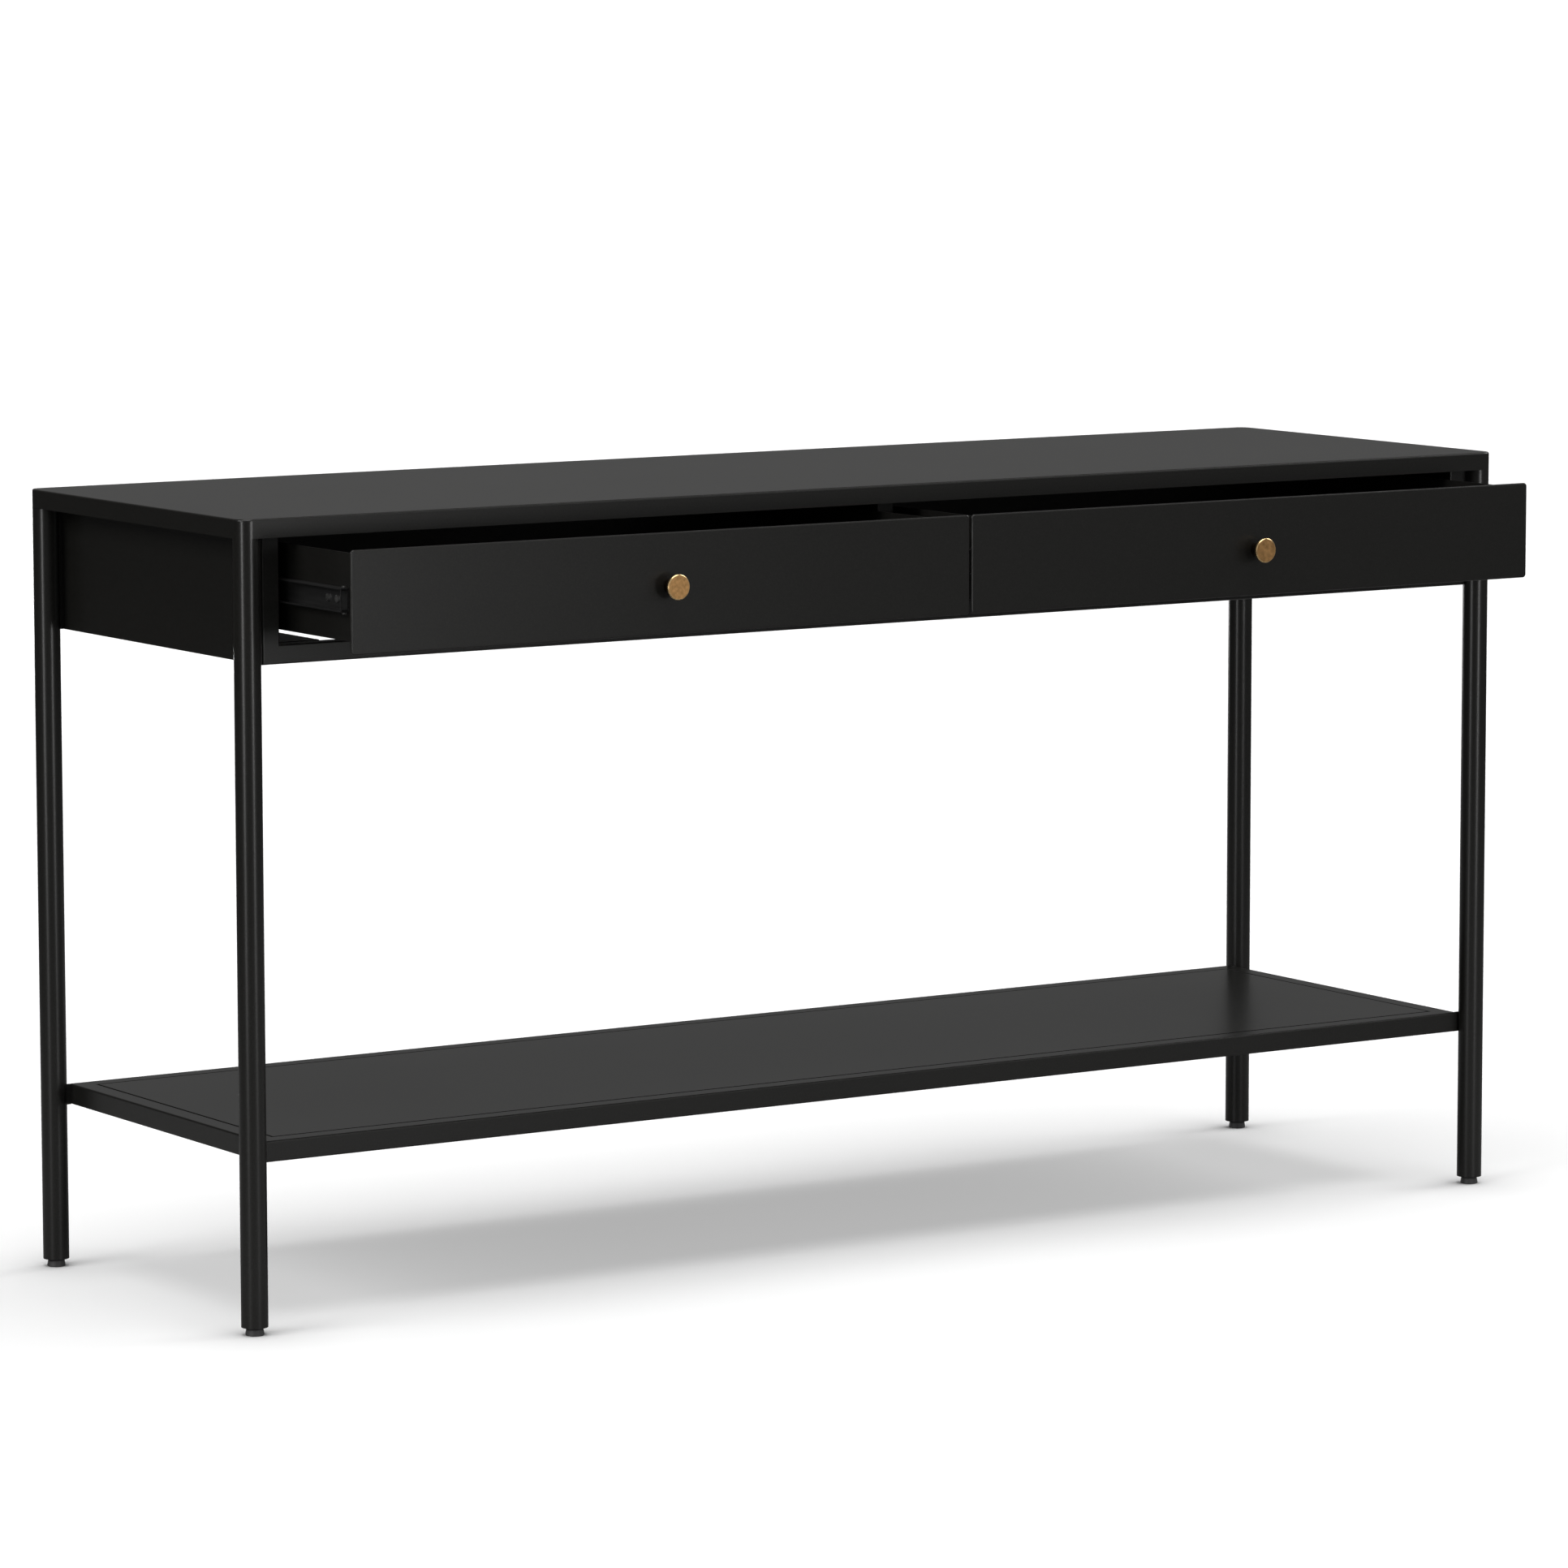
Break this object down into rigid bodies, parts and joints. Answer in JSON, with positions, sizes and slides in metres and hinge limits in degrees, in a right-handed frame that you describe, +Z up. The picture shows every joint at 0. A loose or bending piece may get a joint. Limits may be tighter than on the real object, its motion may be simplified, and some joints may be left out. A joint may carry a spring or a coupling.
{
  "type": "console table",
  "caption": "Long narrow steel console table with drawers on ball-bearing slides, round legs on levelling feet and a low shelf.",
  "frame": {"origin": "on the floor, under the middle of the whole table as it stands with its drawers part open; the top's own middle is 66.65 mm behind it", "axes": "+X along the table to its right end as seen from the front, +Y to the back, +Z up; the drawers open towards -Y"},
  "size_m": [1.46, 0.5634, 0.762],
  "materials": {
    "black_powder_coat": "satin black powder coat with a fine grain",
    "black_slide_steel": "smooth black electro-coat",
    "zinc_steel": "bright zinc plate",
    "antique_brass": "aged brass with a polished rim",
    "grey_plastic": "moulded dark grey plastic"
  },
  "bodies": {
    "table": {"apron_welds": "black_powder_coat", "back_panel": "black_powder_coat", "centre_post": "black_powder_coat", "centre_slide_rail": "black_powder_coat", "front_bottom_rail": "black_powder_coat", "front_stile_left": "black_powder_coat", "front_stile_right": "black_powder_coat", "left_drawer_fixed_slide_screws": "zinc_steel", "left_drawer_inner_slide_cabinet_member": "black_slide_steel", "left_drawer_outer_slide_cabinet_member": "black_slide_steel", "leg_front_left": "black_powder_coat", "leg_front_right": "black_powder_coat", "leg_plug_front_left": "grey_plastic", "leg_plug_front_right": "grey_plastic", "leg_plug_rear_left": "grey_plastic", "leg_plug_rear_right": "grey_plastic", "leg_rear_left": "black_powder_coat", "leg_rear_right": "black_powder_coat", "right_drawer_fixed_slide_screws": "zinc_steel", "right_drawer_inner_slide_cabinet_member": "black_slide_steel", "right_drawer_outer_slide_cabinet_member": "black_slide_steel", "shelf_cross_bars": "black_powder_coat", "shelf_panel": "black_powder_coat", "shelf_rail_front": "black_powder_coat", "shelf_rail_left": "black_powder_coat", "shelf_rail_rear": "black_powder_coat", "shelf_rail_right": "black_powder_coat", "shelf_welds": "black_powder_coat", "side_panel_left": "black_powder_coat", "side_panel_right": "black_powder_coat", "slide_support_left": "black_powder_coat", "slide_support_right": "black_powder_coat", "top_panel": "black_powder_coat", "top_stiffener_front": "black_powder_coat", "top_stiffener_rear": "black_powder_coat"},
    "left_drawer": {"left_drawer_back": "black_powder_coat", "left_drawer_front": "black_powder_coat", "left_drawer_inner_slide_drawer_member": "black_slide_steel", "left_drawer_knob": "antique_brass", "left_drawer_knob_screw": "zinc_steel", "left_drawer_moving_slide_screws": "zinc_steel", "left_drawer_outer_slide_drawer_member": "black_slide_steel", "left_drawer_tray": "black_powder_coat"},
    "left_ball_cages": {"left_drawer_ball_cages": "zinc_steel", "left_drawer_balls": "zinc_steel"},
    "foot_front_left": {"levelling_foot_front_left": "grey_plastic"},
    "foot_front_right": {"levelling_foot_front_right": "grey_plastic"},
    "foot_rear_left": {"levelling_foot_rear_left": "grey_plastic"},
    "foot_rear_right": {"levelling_foot_rear_right": "grey_plastic"},
    "right_drawer": {"right_drawer_back": "black_powder_coat", "right_drawer_front": "black_powder_coat", "right_drawer_inner_slide_drawer_member": "black_slide_steel", "right_drawer_knob": "antique_brass", "right_drawer_knob_screw": "zinc_steel", "right_drawer_moving_slide_screws": "zinc_steel", "right_drawer_outer_slide_drawer_member": "black_slide_steel", "right_drawer_tray": "black_powder_coat"},
    "right_ball_cages": {"right_drawer_ball_cages": "zinc_steel", "right_drawer_balls": "zinc_steel"}
  },
  "joints": [
    {"name": "left_drawer_slide", "type": "slide", "parent": "table", "child": "left_drawer", "axis": [0, -1, 0], "range_m": [-0.129, 0.131]},
    {"name": "left_cage_slide", "type": "slide", "parent": "table", "child": "left_ball_cages", "axis": [0, -1, 0], "range_m": [-0.0645, 0.0655]},
    {"name": "right_drawer_slide", "type": "slide", "parent": "table", "child": "right_drawer", "axis": [0, -1, 0], "range_m": [-0.129, 0.131]},
    {"name": "right_cage_slide", "type": "slide", "parent": "table", "child": "right_ball_cages", "axis": [0, -1, 0], "range_m": [-0.0645, 0.0655]},
    {"name": "foot_front_left_levelling", "type": "slide", "parent": "table", "child": "foot_front_left", "axis": [0, 0, -1], "range_m": [0, 0.008]},
    {"name": "foot_front_right_levelling", "type": "slide", "parent": "table", "child": "foot_front_right", "axis": [0, 0, -1], "range_m": [0, 0.008]},
    {"name": "foot_rear_left_levelling", "type": "slide", "parent": "table", "child": "foot_rear_left", "axis": [0, 0, -1], "range_m": [0, 0.008]},
    {"name": "foot_rear_right_levelling", "type": "slide", "parent": "table", "child": "foot_rear_right", "axis": [0, 0, -1], "range_m": [0, 0.008]}
  ],
  "couplings": [
    {"joint": "left_cage_slide", "follows": "left_drawer_slide", "ratio": 0.5},
    {"joint": "right_cage_slide", "follows": "right_drawer_slide", "ratio": 0.5}
  ]
}
